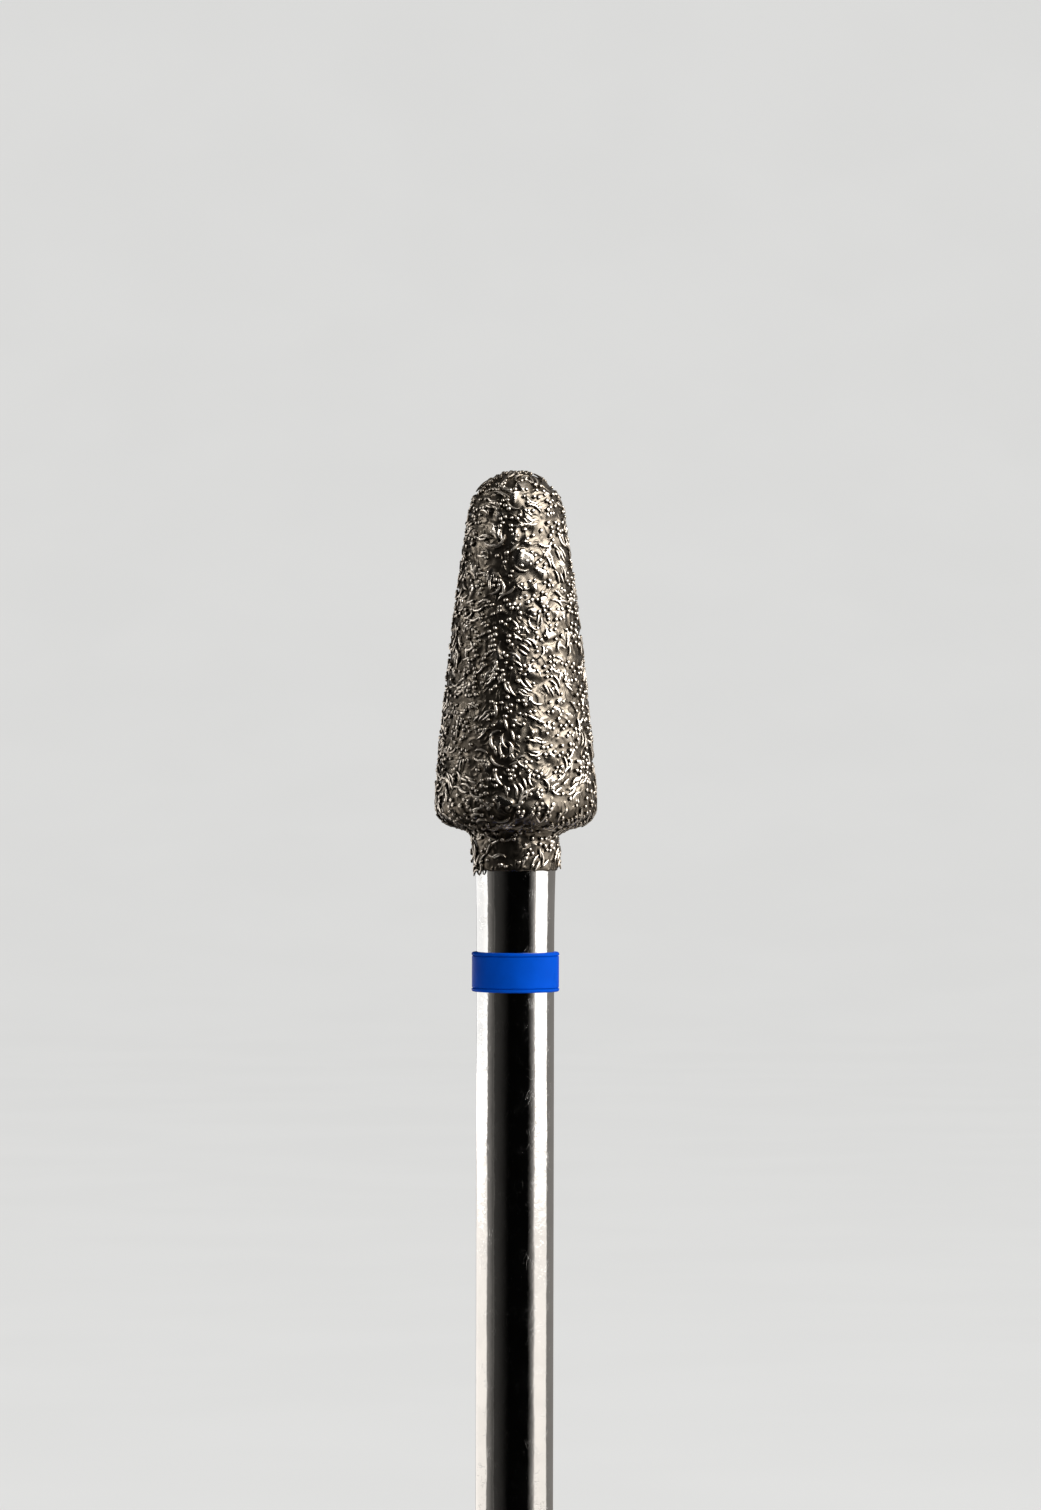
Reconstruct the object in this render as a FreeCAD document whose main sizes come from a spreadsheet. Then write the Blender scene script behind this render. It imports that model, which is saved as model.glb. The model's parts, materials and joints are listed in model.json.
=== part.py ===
import FreeCAD, Part
import math
import os
import random

import Sketcher
from FreeCAD import Vector

# A straight-shank dental bur with a tapered, round-ended head, in millimetres.
# +Z runs up the bur's axis to its tip. The origin is the centre of the shank's flat end face.
# A turned steel blank has a layer of diamond grit in nickel on its head, and a grade ring.

SIZES = (
    ("overall_length", 44.5, "from the shank's end to the highest grain of the tip"),
    ("shank_diameter", 2.35, "the straight shank that a handpiece's collet grips"),
    ("end_bevel", 0.25, "the 45 degree bevel round the shank's end"),
    ("head_length", 10.85, "from the tip to the bottom of the corner where the head is widest"),
    ("head_diameter", 5.0, "the widest place, over the grains"),
    ("tip_radius", 1.5, "the round tip, over the grains"),
    ("side_radius", 110.0, "the slight crown of the tapered side, over the grains"),
    ("corner_radius", 0.75, "from the side round to the shoulder, over the grains"),
    ("shoulder_slope", 16.0, "how far the shoulder falls towards the neck, in degrees"),
    ("neck_fillet", 0.3, "from the shoulder into the neck, over the grains"),
    ("neck_length", 1.3, "how far the coating goes on below the head"),
    ("coating_thickness", 0.2, "nickel and grains together, on the neck"),
    ("grain_relief", 0.12, "how far the highest grains stand out of the nickel"),
    ("grain_pitch", 0.21, "from one grain to the next"),
    ("grain_scatter", 0.4, "how far a grain strays from its row, as a share of the pitch"),
    ("ring_gap", 2.45, "bare shank between the coating and the grade ring"),
    ("ring_width", 1.2, "the grade ring, along the shank"),
    ("ring_stand", 0.155, "how far the grade ring stands out from the shank"),
    ("ring_edge", 0.06, "the bevel of the grade ring's two outer edges"),
    ("groove_depth", 0.175, "the groove in the shank that the grade ring is moulded into"),
)

# A head that is hardly wider than its neck gets a smaller corner and fillet.
NECK_OUT = "(sizes.shank_diameter / 2 + sizes.coating_thickness)"
CORNER = f"min(sizes.corner_radius; 0.7 * (sizes.head_diameter / 2 - {NECK_OUT}))"
CORNER_HEIGHT = f"sizes.overall_length - sizes.head_length + {CORNER}"
CORNER_OUT = f"sizes.head_diameter / 2 - {CORNER}"
COATING_START = "sizes.overall_length - sizes.head_length - sizes.neck_length"
TIP_HEIGHT = "sizes.overall_length - sizes.tip_radius"
NICKEL_OUT = f"{NECK_OUT} - sizes.grain_relief"
NICKEL_CORNER = f"{CORNER} - sizes.grain_relief"
SHOULDER = f"{CORNER_OUT} + ({NICKEL_CORNER}) * sin(sizes.shoulder_slope) - {NECK_OUT}"
NICKEL_FILLET = (
    "min(sizes.neck_fillet + sizes.grain_relief; "
    f"({SHOULDER} + sizes.grain_relief) * 0.9 / (1 - sin(sizes.shoulder_slope)))"
)
GROOVE_OUT = "sizes.shank_diameter / 2 - sizes.groove_depth"
RING_OUT = "sizes.shank_diameter / 2 + sizes.ring_stand"
RING_TOP = f"{COATING_START} - sizes.ring_gap"

GRAIN_SEED = 7
HIGH_OR_LOW = 0.5  # under 1, most points are near a grain's top or near the nickel
FEWEST_IN_A_RING = 5
SAME_POINT = 1e-5
START, END, CENTRE = 1, 2, 3  # the places on a line or an arc that a constraint can hold
ROOT, UPRIGHT = -1, -2  # a sketch's origin and its upright axis


def make_sheet(doc):
    """The driving sizes, one to a row, each with its own alias."""
    sheet = doc.addObject("Spreadsheet::Sheet", "sizes")
    for row, (name, value, meaning) in enumerate(SIZES, start=1):
        sheet.set(f"A{row}", str(value))
        sheet.setAlias(f"A{row}", name)
        sheet.set(f"B{row}", meaning)
    doc.recompute()
    return sheet


def polar(centre, radius, angle):
    return centre + Vector(math.cos(angle), math.sin(angle), 0) * radius


class Section:
    """A sketch of half the section: x is the distance from the bur's axis and y the height."""

    def __init__(self, sketch):
        self.sketch = sketch

    @classmethod
    def of_body(cls, body, name):
        sketch = body.newObject("Sketcher::SketchObject", name)
        plane = next(item for item in body.Origin.OriginFeatures if item.Role == "XZ_Plane")
        sketch.AttachmentSupport = (plane, [""])
        sketch.MapMode = "FlatFace"
        return cls(sketch)

    @classmethod
    def alone(cls, doc, name):
        sketch = doc.addObject("Sketcher::SketchObject", name)
        sketch.Placement = FreeCAD.Placement(Vector(), FreeCAD.Rotation(Vector(1, 0, 0), 90))
        return cls(sketch)

    def size(self, formula):
        """What a formula of the sheet's sizes comes to."""
        return float(self.sketch.evalExpression(formula))

    def line(self, start, end):
        return self.sketch.addGeometry(Part.LineSegment(start, end))

    def arc(self, centre, radius, first_angle, last_angle):
        circle = Part.Circle(centre, Vector(0, 0, 1), radius)
        return self.sketch.addGeometry(Part.ArcOfCircle(circle, first_angle, last_angle))

    def hold(self, kind, *places):
        self.sketch.addConstraint(Sketcher.Constraint(kind, *places))

    def bind(self, name, formula, kind, *places):
        """A dimension that follows the sheet."""
        value = self.size(formula)
        if kind == "Angle":
            value = math.radians(value)
        index = self.sketch.addConstraint(Sketcher.Constraint(kind, *places, value))
        self.sketch.renameConstraint(index, name)
        self.sketch.setExpression(f"Constraints.{name}", formula)

    def revolve(self, body, kind, name):
        """The section turned about the bur's axis, added to the body or cut from it."""
        feature = body.newObject(kind, name)
        feature.Profile = self.sketch
        feature.ReferenceAxis = (self.sketch, ["V_Axis"])
        feature.Angle = 360
        self.sketch.Document.recompute()
        return feature


def tangent_angle(low, low_radius, high, high_radius):
    """The direction from both centres to the straight side that touches both circles."""
    way = high - low
    return math.atan2(way.y, way.x) - math.acos((low_radius - high_radius) / way.Length)


def crown_centre(low, low_radius, high, high_radius, radius):
    """The centre of the large arc that both circles touch from inside."""
    way = high - low
    to_low = radius - low_radius
    to_high = radius - high_radius
    cosine = (to_low**2 + way.Length**2 - to_high**2) / (2 * to_low * way.Length)
    return polar(low, to_low, math.atan2(way.y, way.x) + math.acos(cosine))


def direction(start, end):
    return math.atan2(end.y - start.y, end.x - start.x)


def head_arcs(section, inset, low_angle, high_angle):
    """The corner and the tip of the head, inset from the tops of the grains."""
    size = section.size
    corner = Vector(size(CORNER_OUT), size(CORNER_HEIGHT), 0)
    corner_arc = section.arc(
        corner,
        size(f"{CORNER} - {inset}"),
        math.radians(size("sizes.shoulder_slope - 90")),
        low_angle,
    )
    tip = Vector(0, size(TIP_HEIGHT), 0)
    tip_arc = section.arc(tip, size(f"sizes.tip_radius - {inset}"), high_angle, math.pi / 2)
    section.bind("corner_radius", f"{CORNER} - {inset}", "Radius", corner_arc)
    section.bind("corner_out", CORNER_OUT, "DistanceX", ROOT, START, corner_arc, CENTRE)
    section.bind("corner_height", CORNER_HEIGHT, "DistanceY", ROOT, START, corner_arc, CENTRE)
    section.bind("tip_radius", f"sizes.tip_radius - {inset}", "Radius", tip_arc)
    section.bind("tip_height", TIP_HEIGHT, "DistanceY", ROOT, START, tip_arc, CENTRE)
    section.hold("PointOnObject", tip_arc, CENTRE, UPRIGHT)
    section.hold("PointOnObject", tip_arc, END, UPRIGHT)
    return corner_arc, tip_arc


def draw_blank(section):
    """Half of the turned blank: shank, neck, shoulder, corner, straight taper and tip."""
    size = section.size
    inset = "sizes.coating_thickness"
    side = size("sizes.shank_diameter / 2")
    bevel = size("sizes.end_bevel")
    slope = math.radians(size("sizes.shoulder_slope"))
    corner = Vector(size(CORNER_OUT), size(CORNER_HEIGHT), 0)
    corner_radius = size(f"{CORNER} - {inset}")
    tip = Vector(0, size(TIP_HEIGHT), 0)
    tip_radius = size(f"sizes.tip_radius - {inset}")
    taper = tangent_angle(corner, corner_radius, tip, tip_radius)

    shoulder_out = polar(corner, corner_radius, slope - math.pi / 2)
    shoulder_in = Vector(side, shoulder_out.y - (shoulder_out.x - side) * math.tan(slope), 0)
    end_out = Vector(side - bevel, 0, 0)
    bevel_top = Vector(side, bevel, 0)
    top = polar(tip, tip_radius, math.pi / 2)

    end_face = section.line(Vector(), end_out)
    end_cone = section.line(end_out, bevel_top)
    shank = section.line(bevel_top, shoulder_in)
    shoulder = section.line(shoulder_in, shoulder_out)
    corner_arc, tip_arc = head_arcs(section, inset, taper, taper)
    flank = section.line(polar(corner, corner_radius, taper), polar(tip, tip_radius, taper))
    axis = section.line(top, Vector())

    section.hold("Coincident", end_face, START, ROOT, START)
    section.hold("Horizontal", end_face)
    section.hold("Coincident", end_face, END, end_cone, START)
    section.hold("Coincident", end_cone, END, shank, START)
    section.hold("Vertical", shank)
    section.hold("Coincident", shank, END, shoulder, START)
    section.hold("Tangent", shoulder, END, corner_arc, START)
    section.hold("Tangent", corner_arc, END, flank, START)
    section.hold("Tangent", flank, END, tip_arc, START)
    section.hold("Coincident", tip_arc, END, axis, START)
    section.hold("Coincident", axis, END, ROOT, START)
    section.bind("shank_out", "sizes.shank_diameter / 2", "DistanceX", ROOT, START, shank, START)
    section.bind("bevel_out", "sizes.end_bevel", "DistanceX", end_cone, START, end_cone, END)
    section.bind("bevel_up", "sizes.end_bevel", "DistanceY", end_cone, START, end_cone, END)
    section.bind("slope", "sizes.shoulder_slope", "Angle", shoulder)


def draw_nickel(section):
    """Half of the nickel's surface between the grains, from the coating's end up to the tip."""
    size = section.size
    inset = "sizes.grain_relief"
    neck_out = size(NICKEL_OUT)
    slope = math.radians(size("sizes.shoulder_slope"))
    fillet = size(NICKEL_FILLET)
    corner = Vector(size(CORNER_OUT), size(CORNER_HEIGHT), 0)
    corner_radius = size(NICKEL_CORNER)
    tip = Vector(0, size(TIP_HEIGHT), 0)
    tip_radius = size(f"sizes.tip_radius - {inset}")
    side_radius = size(f"sizes.side_radius - {inset}")
    crown = crown_centre(corner, corner_radius, tip, tip_radius, side_radius)
    low_angle = direction(crown, corner)
    high_angle = direction(crown, tip)

    shoulder_out = polar(corner, corner_radius, slope - math.pi / 2)
    fillet_out = neck_out + fillet
    drop = (shoulder_out.x - fillet_out) * math.tan(slope) + fillet / math.cos(slope)
    fillet_centre = Vector(fillet_out, shoulder_out.y - drop, 0)
    shoulder_in = polar(fillet_centre, fillet, slope + math.pi / 2)

    start = Vector(neck_out, size(COATING_START), 0)
    neck = section.line(start, Vector(neck_out, fillet_centre.y, 0))
    fillet_arc = section.arc(fillet_centre, fillet, slope + math.pi / 2, math.pi)
    shoulder = section.line(shoulder_in, shoulder_out)
    corner_arc, tip_arc = head_arcs(section, inset, low_angle, high_angle)
    flank = section.arc(crown, side_radius, low_angle, high_angle)

    section.hold("Vertical", neck)
    section.hold("Tangent", neck, END, fillet_arc, END)
    section.hold("Tangent", fillet_arc, START, shoulder, START)
    section.hold("Tangent", shoulder, END, corner_arc, START)
    section.hold("Tangent", corner_arc, END, flank, START)
    section.hold("Tangent", flank, END, tip_arc, START)
    section.bind("neck_out", NICKEL_OUT, "DistanceX", ROOT, START, neck, START)
    section.bind("neck_start", COATING_START, "DistanceY", ROOT, START, neck, START)
    section.bind("neck_fillet", NICKEL_FILLET, "Radius", fillet_arc)
    section.bind("side_radius", f"sizes.side_radius - {inset}", "Radius", flank)
    section.bind("slope", "sizes.shoulder_slope", "Angle", shoulder)


def draw_ring(section):
    """Half of the grade ring, which is also what the groove under it takes from the shank."""
    size = section.size
    low = Vector(size(GROOVE_OUT), size(f"{RING_TOP} - sizes.ring_width"), 0)
    high = Vector(size(RING_OUT), size(RING_TOP), 0)
    low_out = Vector(high.x, low.y, 0)
    high_in = Vector(low.x, high.y, 0)

    floor = section.line(high_in, low)
    under = section.line(low, low_out)
    outside = section.line(low_out, high)
    above = section.line(high, high_in)
    sides = (floor, under, outside, above)
    for before, after in zip(sides, sides[1:] + sides[:1]):
        section.hold("Coincident", before, END, after, START)
    section.hold("Vertical", floor)
    section.hold("Vertical", outside)
    section.hold("Horizontal", under)
    section.hold("Horizontal", above)
    section.bind("groove_out", GROOVE_OUT, "DistanceX", ROOT, START, floor, START)
    section.bind("ring_out", RING_OUT, "DistanceX", ROOT, START, outside, START)
    section.bind("ring_top", RING_TOP, "DistanceY", ROOT, START, floor, START)
    section.bind("ring_width", "sizes.ring_width", "DistanceY", outside, START, outside, END)


def make_blank(doc):
    """The steel: turned in one, with a groove for the grade ring."""
    body = doc.addObject("PartDesign::Body", "steel_blank")
    section = Section.of_body(body, "blank_section")
    draw_blank(section)
    section.revolve(body, "PartDesign::Revolution", "turned_blank")
    groove = Section.of_body(body, "groove_section")
    draw_ring(groove)
    groove.revolve(body, "PartDesign::Groove", "ring_groove")
    return body


def make_ring(doc, sheet):
    """The grade ring: moulded round the shank, so that it fills its groove and stands proud."""
    body = doc.addObject("PartDesign::Body", "grade_ring")
    section = Section.of_body(body, "ring_section")
    draw_ring(section)
    band = section.revolve(body, "PartDesign::Revolution", "band")
    shank_radius = sheet.shank_diameter / 2
    outer = [
        f"Edge{number}"
        for number, edge in enumerate(band.Shape.Edges, start=1)
        if edge.Closed and edge.Curve.Radius > shank_radius
    ]
    bevel = body.newObject("PartDesign::Chamfer", "bevelled_edges")
    bevel.Base = (band, outer)
    bevel.setExpression("Size", "sizes.ring_edge")
    doc.recompute()
    return body


def grain_rings(outline, sheet):
    """Rings of points up the head, each the top of a grain or a hollow between grains.

    A ring is a list of turns round the axis, as parts of a whole turn, with the points there.
    The first ring is the coating's plain edge, and the last point is the grain on the tip.
    """
    chance = random.Random(GRAIN_SEED)
    row_height = sheet.grain_pitch * math.sqrt(3) / 2
    row_count = round(outline.Length / row_height)
    stations = outline.discretize(Number=row_count + 1)
    if stations[0].z > stations[-1].z:
        stations.reverse()
    stray = sheet.grain_scatter * sheet.grain_pitch
    rings = []
    for row, (before, here, after) in enumerate(zip(stations[:1] + stations, stations, stations[1:])):
        along = (after - before).normalize()
        outward = Vector(along.z, 0, -along.x)
        count = max(FEWEST_IN_A_RING, round(2 * math.pi * here.x / sheet.grain_pitch))
        ring = []
        for place in range(count):
            sideways = (chance.random() - 0.5) * sheet.grain_scatter
            turn = (place + row % 2 / 2 + sideways) / count
            rise = chance.betavariate(HIGH_OR_LOW, HIGH_OR_LOW) * sheet.grain_relief
            slide = (chance.random() - 0.5) * stray
            point = here if row == 0 else here + outward * rise + along * slide
            angle = turn * 2 * math.pi
            ring.append((turn, Vector(point.x * math.cos(angle), point.x * math.sin(angle), point.z)))
        rings.append(ring)
    tip = stations[-1] + Vector(0, 0, sheet.grain_relief)
    return rings, tip


def corner_of(ring, number):
    """A ring's turn and point, counted on past its end into the next turn."""
    turn, point = ring[number % len(ring)]
    return turn + number // len(ring), point


def between(low, high):
    """Triangles that join two rings, taking whichever next point comes first round the axis."""
    triangles = []
    low_number = 0
    high_number = 0
    while low_number < len(low) or high_number < len(high):
        low_point = corner_of(low, low_number)[1]
        high_point = corner_of(high, high_number)[1]
        low_turn, low_next = corner_of(low, low_number + 1)
        high_turn, high_next = corner_of(high, high_number + 1)
        low_is_next = low_turn < high_turn
        if high_number == len(high) or (low_number < len(low) and low_is_next):
            triangles.append((low_point, low_next, high_point))
            low_number += 1
        else:
            triangles.append((low_point, high_next, high_point))
            high_number += 1
    return triangles


def grit_solid(outline, sheet):
    """Everything inside the grit's surface, down to the coating's lower edge."""
    rings, tip = grain_rings(outline, sheet)
    triangles = []
    for low, high in zip(rings, rings[1:]):
        triangles += between(low, high)
    last = [point for turn, point in rings[-1]]
    triangles += [(here, after, tip) for here, after in zip(last, last[1:] + last[:1])]

    numbers = {}
    for triangle in triangles:
        for point in triangle:
            numbers.setdefault(tuple(point), len(numbers))
    points = [Vector(*place) for place in numbers]
    facets = [tuple(numbers[tuple(point)] for point in triangle) for triangle in triangles]
    skin = Part.Shape()
    skin.makeShapeFromMesh((points, facets), SAME_POINT)

    edge = [point for turn, point in rings[0]]
    lid = Part.Face(Part.makePolygon(edge + edge[:1]))
    solid = Part.Solid(Part.Shell(skin.Faces + [lid]))
    if solid.Volume < 0:
        solid.reverse()
    return solid


def make_coating(doc, sheet, blank):
    """The nickel and its grains: a faceted, gritty surface with the blank cut out of it."""
    section = Section.alone(doc, "nickel_outline")
    draw_nickel(section)
    doc.recompute()
    grit = doc.addObject("Part::Feature", "grit")
    grit.Shape = grit_solid(section.sketch.Shape.Wires[0], sheet)
    coating = doc.addObject("Part::Cut", "diamond_coating")
    coating.Base = grit
    coating.Tool = blank
    coating.Refine = False
    return coating


def main():
    doc = FreeCAD.newDocument("dental_bur")
    sheet = make_sheet(doc)
    blank = make_blank(doc)
    ring = make_ring(doc, sheet)
    coating = make_coating(doc, sheet, blank)
    nodes = (blank, coating, ring)
    for node in nodes:
        node.Label = node.Name
    doc.recompute()

    for item in doc.Objects:
        if {"Invalid", "Error"} & set(item.State):
            raise RuntimeError(f"{item.Name} could not be worked out: {item.State}")
    for node in nodes:
        if node.Shape.isNull() or not node.Shape.isValid() or len(node.Shape.Solids) != 1:
            raise RuntimeError(f"{node.Label} is not one valid solid")

    os.makedirs("parts", exist_ok=True)
    for node in nodes:
        node.Shape.exportStep(f"parts/{node.Label}.step")
        print(f"{node.Label}: {node.Shape.Volume:.3f} cubic millimetres")


main()
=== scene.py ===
import functools
import json
import math
from collections import namedtuple

import bpy
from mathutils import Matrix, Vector

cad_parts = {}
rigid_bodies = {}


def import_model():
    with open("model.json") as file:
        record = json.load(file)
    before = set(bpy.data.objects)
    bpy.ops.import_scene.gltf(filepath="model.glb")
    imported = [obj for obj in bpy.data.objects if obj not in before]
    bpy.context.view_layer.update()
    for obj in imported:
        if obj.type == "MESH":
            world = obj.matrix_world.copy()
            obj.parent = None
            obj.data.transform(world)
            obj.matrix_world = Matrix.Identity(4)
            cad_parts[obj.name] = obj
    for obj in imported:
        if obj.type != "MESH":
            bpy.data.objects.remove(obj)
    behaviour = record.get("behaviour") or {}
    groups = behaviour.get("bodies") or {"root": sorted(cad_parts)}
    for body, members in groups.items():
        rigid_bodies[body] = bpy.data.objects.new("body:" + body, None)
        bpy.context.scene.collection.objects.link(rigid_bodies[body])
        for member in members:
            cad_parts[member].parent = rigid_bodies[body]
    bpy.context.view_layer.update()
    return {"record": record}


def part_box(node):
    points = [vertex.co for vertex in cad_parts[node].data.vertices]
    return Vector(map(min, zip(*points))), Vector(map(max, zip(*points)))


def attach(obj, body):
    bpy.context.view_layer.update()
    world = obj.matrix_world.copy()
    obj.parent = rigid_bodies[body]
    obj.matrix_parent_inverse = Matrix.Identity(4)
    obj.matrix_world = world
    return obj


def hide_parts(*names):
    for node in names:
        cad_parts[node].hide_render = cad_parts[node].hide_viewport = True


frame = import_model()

bl_info = {
    "name": "Dental bur",
    "version": (1, 0, 0),
    "blender": (4, 5, 0),
    "location": "View3D > Sidebar > Bur",
    "description": "Dresses the model of a diamond-coated dental bur and sets up a studio round it",
    "category": "Add Mesh",
}

MM = 0.001
MICRON = 0.000001
BODY = "root"
FACES_PER_MM = 2.3
RIDGES_PER_MM = 5.8
STEPS_ROUND = 192
VOXEL = 0.055 * MM
BASIN_DEPTH = 0.025 * MM
MIDDLE_GREY = (0.5, 0.5, 0.5)

# What is scattered over the head. The smallest and largest are radii, the flatness is the height
# as a share of them, the margin is kept clear above the coating's lower edge, and the patches are
# the values of a noise between which nothing turns to a full crowd.
Scatter = namedtuple("Scatter", "spacing smallest largest flatness sink margin seed patches")
CRYSTALS = Scatter(
    0.55 * MM, 0.26 * MM, 0.38 * MM,
    flatness=0.4, sink=0.08 * MM, margin=0.4 * MM, seed=11, patches=None,
)
BEADS = Scatter(
    0.13 * MM, 0.056 * MM, 0.078 * MM,
    flatness=0.85, sink=0.0, margin=0.2 * MM, seed=51, patches=(0.42, 0.47),
)
RIDGES = Scatter(
    0.15 * MM, 0.044 * MM, 0.054 * MM,
    flatness=0.85, sink=0.0, margin=0.2 * MM, seed=71, patches=(0.52, 0.45),
)

# Half balls stretched along X and bent about Z, by an angle in radians
HalfBall = namedtuple("HalfBall", "stretch bend rings")
BEAD_SHAPES = (HalfBall(1.0, bend=0, rings=5), HalfBall(1.2, bend=0, rings=5))
RIDGE_SHAPES = (
    HalfBall(4, bend=0.4, rings=6),
    HalfBall(5, bend=1.2, rings=6),
    HalfBall(5, bend=-1.0, rings=6),
    HalfBall(6, bend=2.2, rings=6),
    HalfBall(6, bend=-1.8, rings=6),
)

# Area lamps, by the angles in degrees and the heights in metres that they fill
Softbox = namedtuple("Softbox", "name first last low high radiance")
SOFTBOXES = (
    Softbox("softbox_left", -168, -91, low=0.0, high=0.036, radiance=1.16),
    Softbox("softbox_right", 61, 109, low=0.0, high=0.15, radiance=1.17),
    Softbox("softbox_high_left", -106, -70, low=0.13, high=0.18, radiance=5.5),
    Softbox("softbox_high_right", 25, 100, low=0.12, high=0.34, radiance=8.4),
)
LAMP_DISTANCE = 0.30
AIM_HEIGHT = 0.04
TENT_RADIUS = 0.45
TENT_TOP = 0.5

SHANK = next(mount for mount in frame["record"]["mounts"] if mount["name"] == "shank")
COATING_LOW, COATING_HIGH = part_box("diamond_coating")
RING_LOW, RING_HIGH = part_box("grade_ring")


def length(name, description, default):
    return bpy.props.FloatProperty(
        name=name, description=description, default=default, unit="LENGTH", precision=6
    )


def colour(name, description, default):
    return bpy.props.FloatVectorProperty(
        name=name, description=description, default=default, subtype="COLOR", min=0, max=1
    )


class BurSizes(bpy.types.PropertyGroup):
    """Sizes of the bur's pieces, in metres."""

    shank_radius: length("Shank radius", "Of the part that a collet grips", SHANK["dims"]["r_mm"] * MM)
    end_bevel: length("End bevel", "Round the shank's end", 0.25 * MM)
    plating_flare: length("Plating flare", "How much the shank thickens under the coating", 0.035 * MM)
    flare_length: length("Flare length", "How far down the shank that thickening reaches", 2.4 * MM)
    head_length: length("Head length", "From the tip to the bottom of the widest corner", 10.85 * MM)
    head_radius: length("Head radius", "At the widest place, over the grains", 2.5 * MM)
    tip_radius: length("Tip radius", "Over the grains", 1.5 * MM)
    side_radius: length("Side radius", "The slight crown of the tapered side", 110 * MM)
    corner_radius: length("Corner radius", "From the side round to the shoulder", 0.75 * MM)
    shoulder_slope: bpy.props.FloatProperty(
        name="Shoulder slope",
        description="How far the shoulder falls towards the neck",
        default=math.radians(16),
        subtype="ANGLE",
    )
    neck_fillet: length("Neck fillet", "From the shoulder into the neck", 0.3 * MM)
    coating_thickness: length("Coating thickness", "Nickel and grains together, on the neck", 0.2 * MM)
    grain_relief: length("Grain relief", "How far the grains stand out of the nickel", 0.09 * MM)
    nickel_waves: length("Nickel waves", "Height of the nickel's own lumps", 0.02 * MM)
    bead_inset: length("Bead inset", "From the grains' tops down to the middle of the beads", 0.04 * MM)
    ridge_height: length("Ridge height", "Of the ripples in the nickel", 0.015 * MM)
    ragged_edge: length("Ragged edge", "How uneven the coating's lower edge is", 0.04 * MM)
    ring_edge: length("Ring edge", "Rounding of the grade ring's edges", 0.06 * MM)
    ring_lip: length("Ring lip", "Depth of the faint step beside each edge of the ring", 0.01 * MM)
    ring_groove: length("Ring groove", "Depth of the fine line beside each edge of the ring", 0.04 * MM)


class BurColours(bpy.types.PropertyGroup):
    """Colours of the bur's materials and of the studio."""

    steel: colour("Steel", "Polished steel", (0.74, 0.73, 0.71))
    # Painted shade: this dark nickel colour, darkened further in the materials, is the shaded end and
    # the grains' colour the lit end of the one nickel plating
    nickel: colour("Nickel", "The nickel between the grains", (0.34, 0.29, 0.23))
    grain: colour("Grains", "Grains plated with nickel", (0.88, 0.80, 0.70))
    ring: colour("Ring", "The grade ring's plastic", (0.0, 0.052, 0.38))
    paper: colour("Paper", "The studio's floor and backdrop", (0.80, 0.80, 0.79))


def sizes():
    return bpy.context.scene.bur_sizes


def colours():
    return bpy.context.scene.bur_colours


# Outlines: each is a list of points (distance from the axis, height)


def polar(centre, radius, angle):
    return centre + Vector((math.cos(angle), math.sin(angle))) * radius


def arc(centre, radius, first, last, steps):
    """Points along an arc, from one angle to the other."""
    return [
        polar(centre, radius, first + (last - first) * step / steps) for step in range(steps + 1)
    ]


def evenly(points, spacing):
    """The same path in equal steps of about the given length."""
    lengths = [(b - a).length for a, b in zip(points, points[1:])]
    count = max(1, round(sum(lengths) / spacing))
    step = sum(lengths) / count
    result = [points[0]]
    walked = 0.0
    for a, b, stretch in zip(points, points[1:], lengths):
        while len(result) < count and step * len(result) <= walked + stretch:
            share = (step * len(result) - walked) / stretch
            result.append(a.lerp(b, share))
        walked += stretch
    return result + [points[-1]]


def head_outline(inset):
    """The coated head from the neck's lower edge up to the tip, inset from the grains' tops."""
    size = sizes()
    steps = 40
    top = COATING_HIGH.z
    slope = size.shoulder_slope
    corner_radius = size.corner_radius - inset
    tip_radius = size.tip_radius - inset
    side_radius = size.side_radius - inset
    fillet = size.neck_fillet + inset
    neck = size.shank_radius + size.coating_thickness - inset
    corner = Vector((size.head_radius - size.corner_radius, top - size.head_length + size.corner_radius))
    tip = Vector((0, top - size.tip_radius))

    way = tip - corner
    to_corner = side_radius - corner_radius
    to_tip = side_radius - tip_radius
    cosine = (to_corner**2 + way.length_squared - to_tip**2) / (2 * to_corner * way.length)
    crown = polar(corner, to_corner, math.atan2(way.y, way.x) + math.acos(cosine))
    low_angle = math.atan2(corner.y - crown.y, corner.x - crown.x)
    high_angle = math.atan2(tip.y - crown.y, tip.x - crown.x)

    shoulder_out = polar(corner, corner_radius, slope - math.pi / 2)
    fillet_x = neck + fillet
    drop = (shoulder_out.x - fillet_x) * math.tan(slope) + fillet / math.cos(slope)
    fillet_centre = Vector((fillet_x, shoulder_out.y - drop))
    return (
        [Vector((neck, COATING_LOW.z))]
        + arc(fillet_centre, fillet, math.pi, slope + math.pi / 2, steps)
        + arc(corner, corner_radius, slope - math.pi / 2, low_angle, steps)
        + arc(crown, side_radius, low_angle, high_angle, steps)
        + arc(tip, tip_radius, high_angle, math.pi / 2, steps)
    )


def blank_outline():
    """The steel blank from its end to the top of the head's core."""
    size = sizes()
    radius = size.shank_radius
    flared = radius + size.plating_flare
    flare_start = COATING_LOW.z - size.flare_length
    core_spacing = 0.25 * MM
    steps = 12
    flare = [
        Vector((
            radius + size.plating_flare * (step / steps) ** 2,
            flare_start + size.flare_length * step / steps,
        ))
        for step in range(steps + 1)
    ]
    core = head_outline(size.coating_thickness)
    neck_end = next(number for number, point in enumerate(core) if point.x > flared)
    return (
        [Vector((0, 0)), Vector((radius - size.end_bevel, 0)), Vector((radius, size.end_bevel))]
        + flare
        + evenly(core[neck_end:], core_spacing)
    )


def upright(outline):
    """The outline's points in the plane of X and Z."""
    return [Vector((point.x, 0, point.y)) for point in outline]


# Modelling steps that the pieces share


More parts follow.
